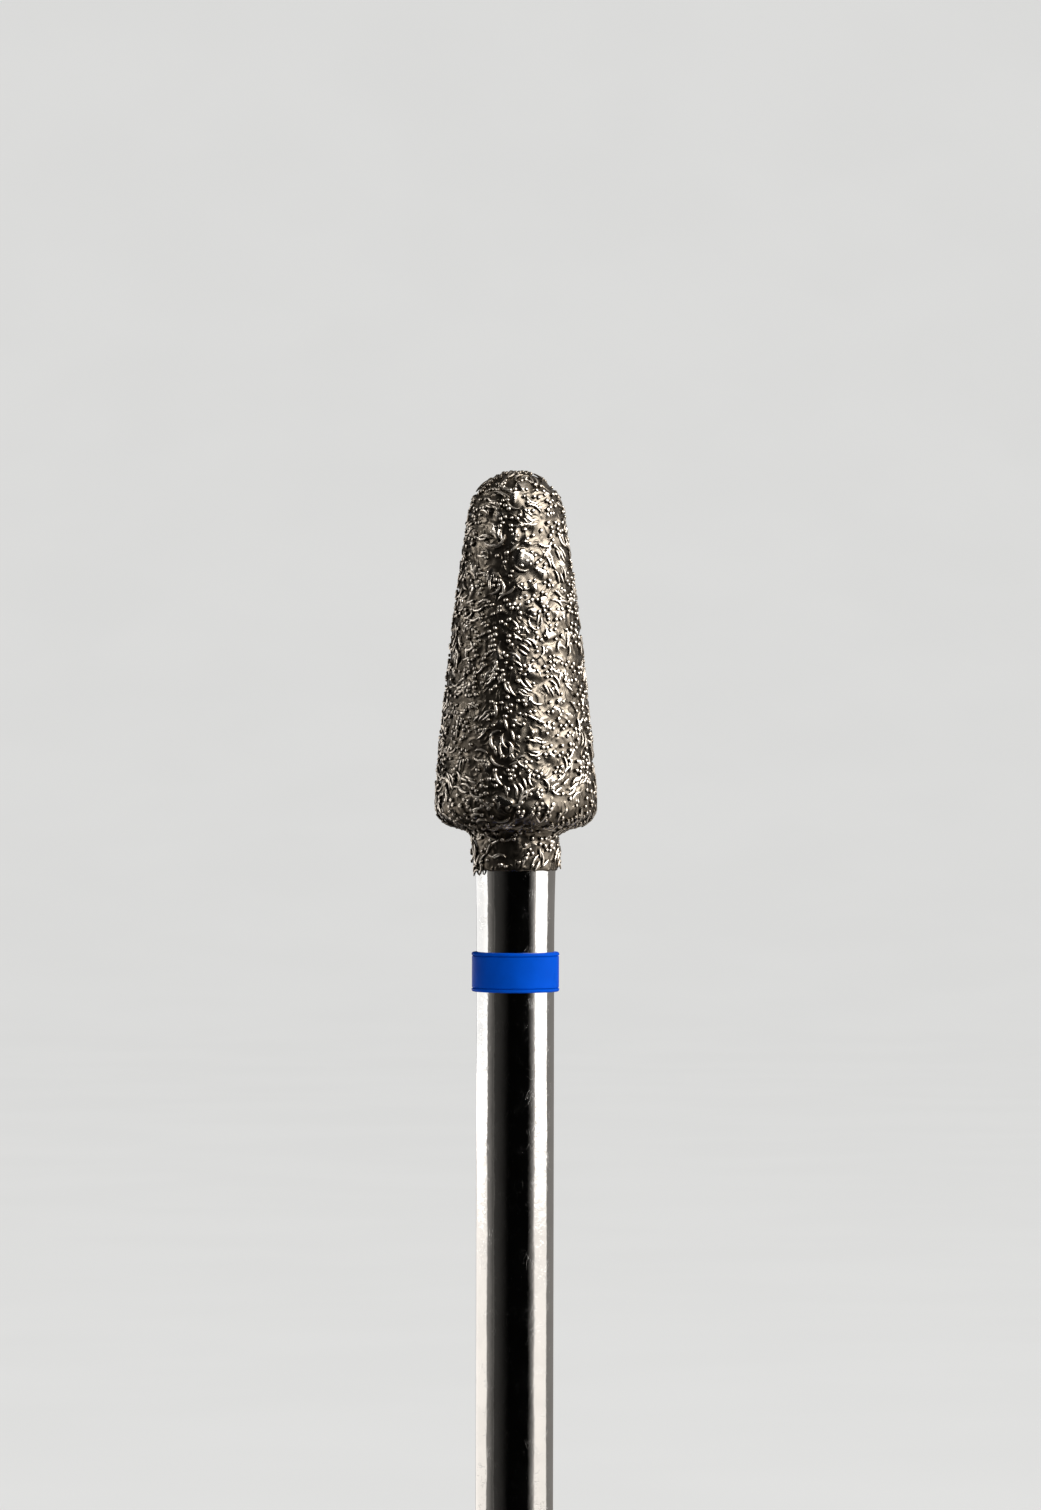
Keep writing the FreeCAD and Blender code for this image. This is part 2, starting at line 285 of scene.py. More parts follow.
def select_only(piece):
    bpy.ops.object.select_all(action="DESELECT")
    piece.select_set(True)
    bpy.context.view_layer.objects.active = piece


def traced(name, points):
    """A chain of edges: one point extruded from place to place."""
    bpy.ops.object.select_all(action="DESELECT")
    bpy.ops.mesh.primitive_plane_add(size=MM)
    piece = bpy.context.object
    piece.name = name
    bpy.ops.object.mode_set(mode="EDIT")
    bpy.ops.mesh.select_mode(type="VERT")
    bpy.ops.mesh.select_all(action="SELECT")
    bpy.ops.mesh.merge(type="CENTER")
    bpy.ops.transform.translate(value=points[0])
    for here, after in zip(points, points[1:]):
        bpy.ops.mesh.extrude_region_move(TRANSFORM_OT_translate={"value": after - here})
    bpy.ops.object.mode_set(mode="OBJECT")
    return piece


def turned(name, outline, steps=STEPS_ROUND):
    """A solid or surface of revolution: the outline spun round the axis."""
    piece = traced(name, upright(outline))
    bpy.ops.object.mode_set(mode="EDIT")
    bpy.ops.mesh.select_all(action="SELECT")
    bpy.ops.mesh.spin(steps=steps, angle=math.tau, center=(0, 0, 0), axis=(0, 0, 1))
    bpy.ops.mesh.select_all(action="SELECT")
    bpy.ops.mesh.remove_doubles(threshold=0.1 * MICRON)
    bpy.ops.mesh.normals_make_consistent(inside=False)
    bpy.ops.object.mode_set(mode="OBJECT")
    return piece


def apply_modifier(piece, kind, **settings):
    """Gives the piece a modifier with these settings and keeps its result as the piece's mesh."""
    select_only(piece)
    modifier = piece.modifiers.new(kind.lower(), kind)
    for name, value in settings.items():
        setattr(modifier, name, value)
    bpy.ops.object.modifier_apply(modifier=modifier.name)


def finish_piece(piece, node, material, sharp_angle):
    """Shading, material and the ties to the model. The angle is in degrees."""
    select_only(piece)
    bpy.ops.object.shade_smooth_by_angle(angle=math.radians(sharp_angle))
    piece.data.materials.clear()
    piece.data.materials.append(material)
    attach(piece, BODY)
    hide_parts(node)


class Nodes:
    """Adds nodes to a tree from left to right and links them."""

    def __init__(self, tree):
        self.tree = tree
        self.column = 0

    def add(self, kind, inputs=None, **settings):
        """A node with its settings, and its inputs by name: each a value or another socket."""
        node = self.tree.nodes.new(kind)
        node.location = (self.column, 0)
        self.column += 200
        for name, value in settings.items():
            setattr(node, name, value)
        for name, value in (inputs or {}).items():
            socket = node.inputs[name]
            if isinstance(value, bpy.types.NodeSocket):
                self.link(value, socket)
            else:
                socket.default_value = value
        return node

    def link(self, output, socket):
        self.tree.links.new(output, socket)

    def math(self, operation, first, second=0.0):
        node = self.add("ShaderNodeMath", {0: first, 1: second}, operation=operation)
        return node.outputs[0]

    def total(self, first, *others):
        """The sum of all the values."""
        for other in others:
            first = self.math("ADD", first, other)
        return first

    def vector(self, operation, first, second=(0, 0, 0)):
        node = self.add("ShaderNodeVectorMath", {0: first, 1: second}, operation=operation)
        return node.outputs["Vector"]

    def scaled(self, vector, factor):
        node = self.add("ShaderNodeVectorMath", {0: vector, "Scale": factor}, operation="SCALE")
        return node.outputs["Vector"]

    def split(self, vector):
        """The vector's X, Y and Z."""
        node = self.add("ShaderNodeSeparateXYZ", {"Vector": vector})
        return tuple(node.outputs)

    def joined(self, x, y, z):
        return self.add("ShaderNodeCombineXYZ", {"X": x, "Y": y, "Z": z}).outputs["Vector"]

    def ramp(self, value, low, high, to_low=0.0, to_high=1.0):
        """The value's range from low to high, stretched smoothly to the other range."""
        node = self.add(
            "ShaderNodeMapRange",
            {"Value": value, "From Min": low, "From Max": high, "To Min": to_low, "To Max": to_high},
            interpolation_type="SMOOTHSTEP",
        )
        return node.outputs["Result"]

    def noise(self, where, scale, detail, distortion=0.0, output="Fac"):
        node = self.add(
            "ShaderNodeTexNoise",
            {"Vector": where, "Scale": scale, "Detail": detail, "Distortion": distortion},
        )
        return node.outputs[output]

    def cells(self, where, scale, feature="F1"):
        return self.add("ShaderNodeTexVoronoi", {"Vector": where, "Scale": scale}, feature=feature)

    def bent(self, where, curl, reach):
        """The place moved by the curl, which is a vector, times the reach."""
        return self.vector("ADD", where, self.scaled(curl, reach))

    def wave_along(self, where, direction):
        """A wave from -1 to 1 and back along the direction."""
        way = self.add("ShaderNodeVectorMath", {0: where, 1: direction}, operation="DOT_PRODUCT")
        turns = self.math("MULTIPLY", way.outputs["Value"], math.tau * RIDGES_PER_MM)
        return self.math("SINE", turns)


class ShapeNodes(Nodes):
    """A geometry node tree, with the geometry that goes into it."""

    def __init__(self, name):
        tree = bpy.data.node_groups.new(name, "GeometryNodeTree")
        tree.interface.new_socket("Geometry", in_out="INPUT", socket_type="NodeSocketGeometry")
        tree.interface.new_socket("Geometry", in_out="OUTPUT", socket_type="NodeSocketGeometry")
        super().__init__(tree)
        self.geometry = self.add("NodeGroupInput").outputs["Geometry"]

    def position(self):
        return self.add("GeometryNodeInputPosition").outputs["Position"]

    def height(self):
        return self.split(self.position())[2]

    def where(self):
        """The point's place in millimetres, so that a pattern's scale is its count per millimetre."""
        return self.scaled(self.position(), 1 / MM)

    def along_normal(self, distance):
        return self.scaled(self.add("GeometryNodeInputNormal").outputs["Normal"], distance)

    def moved(self, surface, offset):
        node = self.add("GeometryNodeSetPosition", {"Geometry": surface, "Offset": offset})
        return node.outputs["Geometry"]

    def placed(self, surface, place):
        node = self.add("GeometryNodeSetPosition", {"Geometry": surface, "Position": place})
        return node.outputs["Geometry"]

    def random(self, kind, least, most, seed):
        """A random value for each point, seeded."""
        first_input, output = {"FLOAT_VECTOR": (0, 0), "FLOAT": (2, 1), "INT": (4, 2)}[kind]
        node = self.add(
            "FunctionNodeRandomValue",
            {first_input: least, first_input + 1: most, "Seed": seed},
            data_type=kind,
        )
        return node.outputs[output]

    def noted(self, surface, name, value):
        """The surface with the value stored at its points, for the material to read."""
        node = self.add(
            "GeometryNodeStoreNamedAttribute",
            {"Geometry": surface, "Name": name, "Value": value},
            data_type="FLOAT",
            domain="POINT",
        )
        return node.outputs["Geometry"]

    def apply_to(self, piece, result):
        """Runs the tree on the piece and keeps the result as the piece's mesh."""
        self.add("NodeGroupOutput", {"Geometry": result})
        apply_modifier(piece, "NODES", node_group=self.tree)


class ShadeNodes(Nodes):
    """A material with a Principled shader and the piece's own coordinates in millimetres."""

    def __init__(self, name, metallic=0.0):
        self.material = bpy.data.materials.new(name)
        self.material.use_nodes = True
        self.material.node_tree.nodes.clear()
        super().__init__(self.material.node_tree)
        self.where = self.scaled(self.add("ShaderNodeTexCoord").outputs["Object"], 1 / MM)
        self.shader = self.add("ShaderNodeBsdfPrincipled")
        self.shader.inputs["Metallic"].default_value = metallic
        self.output = self.add("ShaderNodeOutputMaterial", {"Surface": self.shader.outputs["BSDF"]})

    def attribute(self, name):
        return self.add("ShaderNodeAttribute", attribute_name=name).outputs["Fac"]

    def mixed(self, share, first, second):
        mix = self.add("ShaderNodeMix", data_type="RGBA")
        self.link(share, mix.inputs[0])
        mix.inputs[6].default_value = (*first, 1)
        mix.inputs[7].default_value = (*second, 1)
        return mix.outputs[2]

    def finish(self, base, roughness, height, relief):
        """Colour, roughness and a bump whose height of 1 stands for the relief."""
        self.link(base, self.shader.inputs["Base Color"])
        self.link(roughness, self.shader.inputs["Roughness"])
        bump = self.add("ShaderNodeBump", {"Height": height, "Strength": 1.0, "Distance": relief})
        self.link(bump.outputs["Normal"], self.shader.inputs["Normal"])
        return self.material


def shade(colour, factor):
    return tuple(min(1.0, channel * factor) for channel in colour)


# The steel blank


def steel_material():
    """Polished steel with faint grinding lines, small curved nicks and slight waviness."""
    nodes = ShadeNodes("polished_steel", metallic=1.0)
    steel = colours().steel
    mottle = nodes.noise(nodes.where, scale=0.9, detail=3.0)
    tone = nodes.ramp(mottle, 0.35, 0.65)
    base = nodes.mixed(tone, shade(steel, 0.96), shade(steel, 1.03))

    streaks = nodes.add("ShaderNodeMapping", {"Vector": nodes.where, "Scale": (7.0, 7.0, 0.25)})
    waves = nodes.add("ShaderNodeMapping", {"Vector": nodes.where, "Scale": (1.0, 1.0, 0.35)})
    grinding = nodes.noise(streaks.outputs["Vector"], scale=1.0, detail=3.0)
    mottling = nodes.noise(nodes.where, scale=5.0, detail=3.0)
    waviness = nodes.noise(waves.outputs["Vector"], scale=1.3, detail=2.0)

    curl = nodes.noise(nodes.where, scale=1.6, detail=2.0, distortion=1.5, output="Color")
    bent = nodes.bent(nodes.where, curl, 1.8)
    nicks = nodes.cells(bent, 1.7, feature="DISTANCE_TO_EDGE").outputs["Distance"]
    thin = nodes.ramp(nicks, 0.0, 0.045, 1.0, 0.0)
    sparse = nodes.ramp(nodes.noise(nodes.where, scale=2.4, detail=1.0), 0.50, 0.62)
    scratch = nodes.math("MULTIPLY", thin, sparse)

    wear = nodes.ramp(mottle, 0.3, 0.7, 0.05, 0.09)
    roughness = nodes.total(wear, nodes.math("MULTIPLY", scratch, 0.08))
    height = nodes.total(
        nodes.math("MULTIPLY", grinding, 0.9),
        nodes.math("MULTIPLY", mottling, 2.8),
        nodes.math("MULTIPLY", waviness, 14.0),
        nodes.math("MULTIPLY", scratch, -0.8),
    )
    return nodes.finish(base, roughness, height, 1.0 * MICRON)


class BUR_OT_steel_blank(bpy.types.Operator):
    """Turn the steel blank: shank, neck and the core of the head"""

    bl_idname = "bur.steel_blank"
    bl_label = "Steel blank"

    def execute(self, context):
        piece = turned("steel_blank_turned", blank_outline())
        finish_piece(piece, "steel_blank", steel_material(), sharp_angle=25)
        return {"FINISHED"}


# Shapes that are scattered over the head


def crystal(number, cuts=7):
    """One crushed diamond of about unit radius: a block cut flat on several sides."""
    bpy.ops.object.select_all(action="DESELECT")
    bpy.ops.mesh.primitive_cube_add(size=1.6)
    piece = bpy.context.object
    piece.name = f"crystal_{number}"
    bpy.ops.object.mode_set(mode="EDIT")
    golden_angle = math.pi * (3 - math.sqrt(5))
    turn_between_crystals = 1.7
    deepest = 0.6
    spread = 0.3
    for cut in range(cuts):
        height = 1 - 2 * (cut + 0.5) / cuts
        turn = golden_angle * cut + number * turn_between_crystals
        ring = math.sqrt(1 - height * height)
        normal = Vector((ring * math.cos(turn), ring * math.sin(turn), height))
        depth = deepest + spread * ((cut * 7 + number * 5) % 11) / 10
        bpy.ops.mesh.select_all(action="SELECT")
        bpy.ops.mesh.bisect(
            plane_co=normal * depth, plane_no=normal, use_fill=True, clear_outer=True
        )
    bpy.ops.object.mode_set(mode="OBJECT")
    return piece


def half_ball(number, shape):
    """The upper half of a ball, stretched along X and bent: a bead or a short ridge.

    Its points keep their height over its middle, so that the material can paint a highlight on the cap
    and shade at its foot.
    """
    foot = -0.5
    bpy.ops.object.select_all(action="DESELECT")
    bpy.ops.mesh.primitive_uv_sphere_add(segments=8, ring_count=shape.rings, radius=1)
    piece = bpy.context.object
    piece.name = f"half_ball_{number}"
    bpy.ops.object.mode_set(mode="EDIT")
    bpy.ops.mesh.select_all(action="SELECT")
    bpy.ops.transform.rotate(
        value=math.pi / 2, orient_axis="Y", center_override=(0, 0, 0)
    )
    bpy.ops.transform.resize(value=(shape.stretch, 1, 1), center_override=(0, 0, 0))
    bpy.ops.mesh.bisect(
        plane_co=(0, 0, foot), plane_no=(0, 0, -1), use_fill=False, clear_outer=True
    )
    bpy.ops.object.mode_set(mode="OBJECT")
    if shape.bend:
        apply_modifier(
            piece, "SIMPLE_DEFORM", deform_method="BEND", deform_axis="Z", angle=shape.bend
        )
    bpy.ops.object.shade_smooth()
    nodes = ShapeNodes("rise")
    nodes.apply_to(piece, nodes.noted(nodes.geometry, "rise", nodes.height()))
    return piece


def shape_collection(name, shapes):
    collection = bpy.data.collections.new(name)
    for shape in shapes:
        for owner in list(shape.users_collection):
            owner.objects.unlink(shape)
        collection.objects.link(shape)
    return collection


def remove_collection(collection):
    for shape in list(collection.objects):
        bpy.data.objects.remove(shape)
    bpy.data.collections.remove(collection)


def random_turn(nodes, points, tilt, seed):
    """The points' rotation turned about the normal by any angle and tilted by up to the tilt."""
    turn = nodes.random("FLOAT_VECTOR", (-tilt, -tilt, 0), (tilt, tilt, math.tau), seed)
    turned_round = nodes.add(
        "FunctionNodeRotateRotation",
        {"Rotation": points.outputs["Rotation"], "Rotate By": turn},
        rotation_space="LOCAL",
    )
    return turned_round.outputs["Rotation"]


def rows_here(nodes):
    """Rows that turn from patch to patch: the bent place and the direction across the rows."""
    where = nodes.where()
    curl = nodes.noise(where, scale=1.6, detail=1.0, output="Color")
    bent = nodes.bent(where, nodes.vector("SUBTRACT", curl, MIDDLE_GREY), 0.9)
    patches = nodes.cells(bent, 1.3)
    outward = nodes.vector("MULTIPLY", patches.outputs["Position"], (1, 1, 0))
    random = nodes.vector("SUBTRACT", patches.outputs["Color"], MIDDLE_GREY)
    across = nodes.vector("NORMALIZE", nodes.vector("CROSS_PRODUCT", outward, random))
    return bent, across


def along_rows(nodes, points):
    """The points' rotation with X turned along the rows."""
    _, across = rows_here(nodes)
    along = nodes.vector("CROSS_PRODUCT", points.outputs["Normal"], across)
    aligned = nodes.add(
        "FunctionNodeAlignRotationToVector",
        {"Rotation": points.outputs["Rotation"], "Vector": along},
        axis="X",
        pivot_axis="Z",
    )
    return aligned.outputs["Rotation"]


def above_edge(nodes, margin):
    """1 above the coating's lower edge by the margin or more, 0 nearer to it."""
    return nodes.math("GREATER_THAN", nodes.height(), COATING_LOW.z + margin)


def on_crests(nodes, scatter):
    """Where beads or ridges may lie: on the rows' crests, and crowded from patch to patch."""
    crowd = nodes.ramp(nodes.noise(nodes.where(), scale=1.5, detail=2.0), *scatter.patches)
    wave = nodes.wave_along(*rows_here(nodes))
    density = nodes.math("MULTIPLY", crowd, nodes.ramp(wave, 0.1, 0.7))
    return nodes.math("MULTIPLY", density, above_edge(nodes, scatter.margin))


def basins(nodes, surface):
    """The surface with wide shallow hollows sunk into it."""
    patches = nodes.noise(nodes.where(), scale=1.6, detail=1.0)
    sink = nodes.ramp(patches, 0.42, 0.62, 0.0, -BASIN_DEPTH)
    return nodes.moved(surface, nodes.along_normal(sink))


def wrapped(nodes, chain, count):
    """A bed round the axis from a chain of so many points, with its faces in a fixed order.

    Spun meshes list their faces differently from run to run, and what is scattered on them moves.
    """
    grid = nodes.add("GeometryNodeMeshGrid", {"Vertices X": STEPS_ROUND + 1, "Vertices Y": count})
    index = nodes.add("GeometryNodeInputIndex").outputs["Index"]
    share = nodes.math("DIVIDE", nodes.math("ADD", index, 0.5), float(count))
    column = nodes.math("FLOOR", share)
    row = nodes.math("SUBTRACT", index, nodes.math("MULTIPLY", column, float(count)))
    point = nodes.add(
        "GeometryNodeSampleIndex",
        {"Geometry": chain, "Value": nodes.position(), "Index": row},
        data_type="FLOAT_VECTOR",
        domain="POINT",
        clamp=True,
    )
    out, _, height = nodes.split(point.outputs["Value"])
    angle = nodes.math("MULTIPLY", column, math.tau / STEPS_ROUND)
    x = nodes.math("MULTIPLY", out, nodes.math("COSINE", angle))
    y = nodes.math("MULTIPLY", out, nodes.math("SINE", angle))
    return nodes.placed(grid.outputs["Mesh"], nodes.joined(x, y, height))


def scattered(nodes, surface, shapes, scatter, turn, density):
    """Shapes from the collection set over the surface, no closer than the scatter's spacing.

    The turn is a function of the nodes and the points that gives the shapes' rotation.
    """
    points = nodes.add(
        "GeometryNodeDistributePointsOnFaces",
        {
            "Mesh": surface,
            "Distance Min": scatter.spacing,
            "Density Max": 10 / scatter.spacing**2,
            "Density Factor": density,
            "Seed": scatter.seed,
        },
        distribute_method="POISSON",
    )
    inward = nodes.scaled(points.outputs["Normal"], -scatter.sink)
    instances = nodes.add(
        "GeometryNodeCollectionInfo",
        {"Collection": shapes, "Separate Children": True, "Reset Children": True},
    )
    which = nodes.random("INT", 0, len(shapes.objects) - 1, scatter.seed + 1)
    scale = nodes.random("FLOAT", scatter.smallest, scatter.largest, scatter.seed + 3)
    placed = nodes.add(
        "GeometryNodeInstanceOnPoints",
        {
            "Points": nodes.moved(points.outputs["Points"], inward),
            "Instance": instances.outputs["Instances"],
            "Pick Instance": True,
            "Instance Index": which,
            "Rotation": turn(nodes, points),
            "Scale": nodes.scaled((1, 1, scatter.flatness), scale),
        },
    )
    real = nodes.add("GeometryNodeRealizeInstances", {"Geometry": placed.outputs["Instances"]})
    return real.outputs["Geometry"]


# The diamond coating


def relief(nodes, surface):
    """Lumps of nickel over the surface, and an uneven lower edge."""
    size = sizes()
    uneven_up_to = COATING_LOW.z + 0.4 * MM
    where = nodes.where()
    lumps = nodes.add(
        "ShaderNodeTexVoronoi",
        {"Vector": where, "Scale": 4.5, "Smoothness": 0.3, "Randomness": 1.0},
        feature="SMOOTH_F1",
    )
    swell = nodes.noise(where, scale=2.2, detail=3.0)
    height = nodes.total(
        nodes.ramp(lumps.outputs["Distance"], 0.1, 0.7, 0.6, -0.6),
        nodes.ramp(swell, 0.3, 0.7, -0.4, 0.4),
    )
    outward = nodes.along_normal(nodes.math("MULTIPLY", height, size.nickel_waves))

    near_edge = nodes.ramp(nodes.height(), COATING_LOW.z, uneven_up_to, 1.0, 0.0)
    teeth = nodes.noise(where, scale=3.4, detail=3.0)
    rise = nodes.ramp(teeth, 0.3, 0.7, 0.0, size.ragged_edge)
    lift = nodes.joined(0.0, 0.0, nodes.math("MULTIPLY", rise, near_edge))
    return nodes.moved(surface, nodes.vector("ADD", outward, lift))


def set_crystals(skin, outline):
    """Makes the skin lumpy nickel with crystals in it."""
    chain = traced("grain_bed", upright(outline))
    crystals = shape_collection("crystals", [crystal(number) for number in range(8)])
    nodes = ShapeNodes("crystals_in_nickel")
    bed = nodes.add("GeometryNodeObjectInfo", {"Object": chain}).outputs["Geometry"]
    bed = wrapped(nodes, bed, len(outline))
    turn = functools.partial(random_turn, tilt=0.3, seed=13)
    clear = above_edge(nodes, CRYSTALS.margin)
    together = nodes.add("GeometryNodeJoinGeometry")
    for part in (
        relief(nodes, nodes.geometry),
        scattered(nodes, bed, crystals, CRYSTALS, turn, clear),
    ):
        nodes.link(part, together.inputs["Geometry"])
    nodes.apply_to(skin, together.outputs["Geometry"])
    remove_collection(crystals)
    bpy.data.objects.remove(chain)


def plating_pattern(nodes, where):
    """Height of the nickel on each crystal face, 0 to 1: rows of ridges on some, beads on others."""
    bent = nodes.bent(where, nodes.noise(where, scale=2.0, detail=1.0, output="Color"), 0.5)
    faces = nodes.cells(bent, FACES_PER_MM).outputs["Color"]
    edges = nodes.cells(bent, FACES_PER_MM, feature="DISTANCE_TO_EDGE").outputs["Distance"]
    along = nodes.vector("NORMALIZE", nodes.vector("SUBTRACT", faces, MIDDLE_GREY))
    across = nodes.vector("NORMALIZE", nodes.vector("CROSS_PRODUCT", along, (0.36, 0.48, 0.8)))
    rows = nodes.wave_along(bent, along)
    breaks = nodes.wave_along(bent, across)
    chance = nodes.add("ShaderNodeTexWhiteNoise", {"Vector": faces}).outputs["Value"]
    beaded = nodes.ramp(chance, 0.45, 0.46)
    beads = nodes.ramp(nodes.total(rows, breaks), -0.1, 1.7)
    ridges = nodes.ramp(rows, -0.3, 0.9)
    ridges = nodes.math("MULTIPLY", ridges, nodes.math("SUBTRACT", 1.0, beaded))
    height = nodes.total(ridges, nodes.math("MULTIPLY", beads, beaded))
    height = nodes.math("MULTIPLY", height, nodes.ramp(chance, 0.90, 0.91, 1.0, 0.2))
    return nodes.math("MULTIPLY", height, nodes.ramp(edges, 0.02, 0.14))


def raise_plating(skin):
    """Raises the ridges and beads of the nickel on the smoothed skin."""
    nodes = ShapeNodes("plating")
    height = nodes.math("MULTIPLY", plating_pattern(nodes, nodes.where()), sizes().ridge_height)
    nodes.apply_to(skin, nodes.moved(nodes.geometry, nodes.along_normal(height)))


def kept_inside(nodes, surface):
    """Points beyond the model's own box brought back to it, towards the axis."""
    reach = min(-COATING_LOW.x, COATING_HIGH.x, -COATING_LOW.y, COATING_HIGH.y) - 2 * MICRON
    top = COATING_HIGH.z - 5 * MICRON
    x, y, z = nodes.split(nodes.position())
    radius = nodes.total(nodes.math("MULTIPLY", x, x), nodes.math("MULTIPLY", y, y))
    radius = nodes.math("SQRT", radius)
    share = nodes.math("MINIMUM", nodes.math("DIVIDE", reach, radius), 1.0)
    place = nodes.joined(
        nodes.math("MULTIPLY", x, share),
        nodes.math("MULTIPLY", y, share),
        nodes.math("MINIMUM", z, top),
    )
    return nodes.placed(surface, place)


def note_depth(piece):
    """Keeps the piece inside the model's box and notes its points' depth below the grains' tops."""
    spacing = 0.15 * MM
    tops = turned("tops", evenly(head_outline(0), spacing), steps=96)
    nodes = ShapeNodes("depth_below_tops")
    surface = kept_inside(nodes, nodes.geometry)
    outline = nodes.add("GeometryNodeObjectInfo", {"Object": tops}).outputs["Geometry"]
    nearest = nodes.add("GeometryNodeProximity", {"Geometry": outline}, target_element="FACES")
    nodes.apply_to(piece, nodes.noted(surface, "depth", nearest.outputs["Distance"]))
    bpy.data.objects.remove(tops)


def plated_material():
    """Bright nickel on the tops of the grains; between them it is rougher, and painted shade darkens it
    in the recesses and grooves.
    """
    nodes = ShadeNodes("diamond_grit_in_nickel", metallic=1.0)
    # Painted shade: darker with depth below the grains' tops, where shade would fall
    recess = nodes.ramp(nodes.attribute("depth"), 0.02 * MM, 0.08 * MM)
    height = plating_pattern(nodes, nodes.where)
    # Painted shade: darker in the grooves of the ridges and beads
    groove = nodes.ramp(height, 0.0, 0.55, 0.4, 0.0)
    stain = nodes.ramp(nodes.noise(nodes.where, scale=2.6, detail=3.0), 0.35, 0.65, 0.0, 0.2)
    # The painted shade and the random stain together, which also make the nickel rougher
    painted_shade_and_tone = nodes.math("MINIMUM", nodes.total(recess, groove, stain), 1.0)
    # The grains' colour is the lit end, and the nickel colour at half is the painted shade
    base = nodes.mixed(painted_shade_and_tone, colours().grain, shade(colours().nickel, 0.5))
    return nodes.finish(base, nodes.ramp(painted_shade_and_tone, 0.0, 1.0, 0.13, 0.32), height, 8 * MICRON)


class BUR_OT_plated_grit(bpy.types.Operator):
    """Scatter crystals over the head and lay one skin of nickel over them"""

    bl_idname = "bur.plated_grit"
    bl_label = "Plated grit"

    def execute(self, context):
        spacing = 0.08 * MM
        outline = evenly(head_outline(sizes().grain_relief), spacing)
        skin = turned("plated_grit", [Vector((0, COATING_LOW.z))] + outline)
        set_crystals(skin, outline)
        apply_modifier(skin, "REMESH", mode="VOXEL", voxel_size=VOXEL)
        apply_modifier(skin, "SMOOTH", factor=0.5, iterations=3)
        raise_plating(skin)

        core = turned("core", blank_outline())
        apply_modifier(skin, "BOOLEAN", operation="DIFFERENCE", solver="MANIFOLD", object=core)
        bpy.data.objects.remove(core)

        note_depth(skin)
        material = plated_material()
        finish_piece(skin, "diamond_coating", material, sharp_angle=75)
        return {"FINISHED"}


class BUR_OT_nickel_beads(bpy.types.Operator):
    """Set beads and ridges of nickel over the plated grit"""

    bl_idname = "bur.nickel_beads"
    bl_label = "Nickel beads and ridges"

    def execute(self, context):
        self.scatter("nickel_beads", BEAD_SHAPES, BEADS)
        self.scatter("nickel_ridges", RIDGE_SHAPES, RIDGES)
        return {"FINISHED"}

    def scatter(self, name, shapes, scatter):
        """A piece of many half balls, scattered over the head at the beads' inset."""
        spacing = 0.1 * MM
        balls = [half_ball(number, shape) for number, shape in enumerate(shapes)]
        chain = evenly(head_outline(sizes().bead_inset), spacing)
        piece = traced(name, upright(chain))
        collection = shape_collection(f"{name}_shapes", balls)
        nodes = ShapeNodes(f"{name}_scatter")
        bed = basins(nodes, wrapped(nodes, nodes.geometry, len(chain)))
        density = on_crests(nodes, scatter)
        nodes.apply_to(piece, scattered(nodes, bed, collection, scatter, along_rows, density))
        remove_collection(collection)
        note_depth(piece)
        material = bead_material(name)
        finish_piece(piece, "diamond_coating", material, sharp_angle=80)


def bead_material(name):
    """Nickel with a highlight painted on the caps and shade painted at their feet and in the hollows, a
    little uneven in between.
    """
    nodes = ShadeNodes(name, metallic=1.0)
    tone = nodes.ramp(nodes.noise(nodes.where, scale=3.0, detail=2.0), 0.35, 0.65)
    # Painted shade at the beads' feet, which leaves the caps as a painted highlight, painted shade with
    # depth in the hollows, and a little random tone
    painted_shade_and_tone = nodes.total(
        nodes.ramp(nodes.attribute("rise"), 0.45, 0.85, 1.0, 0.0),
        nodes.ramp(nodes.attribute("depth"), 0.03 * MM, 0.08 * MM, 0.0, 0.4),
        nodes.math("MULTIPLY", tone, 0.1),
    )
    painted_shade_and_tone = nodes.math("MINIMUM", painted_shade_and_tone, 1.0)
    # The grains' colour, brightened, is the painted highlight on the caps; the nickel colour, darkened,
    # is the painted shade
    base = nodes.mixed(painted_shade_and_tone, shade(colours().grain, 1.1), shade(colours().nickel, 0.6))
    ripples = nodes.noise(nodes.where, scale=12.0, detail=2.0)
    return nodes.finish(base, nodes.ramp(tone, 0.0, 1.0, 0.30, 0.38), ripples, 1.5 * MICRON)


# The grade ring


def ring_material():
    """Blue plastic with little gloss, faintly uneven."""
    nodes = ShadeNodes("blue_plastic")
    blue = colours().ring
    clouds = nodes.noise(nodes.where, scale=1.1, detail=3.0)
    base = nodes.mixed(nodes.ramp(clouds, 0.3, 0.7), shade(blue, 0.9), shade(blue, 1.05))
    nodes.shader.inputs["Specular IOR Level"].default_value = 0.02
    fine = nodes.noise(nodes.where, scale=5.0, detail=3.0)
    return nodes.finish(base, nodes.ramp(clouds, 0.3, 0.7, 0.36, 0.44), fine, 2.5 * MICRON)


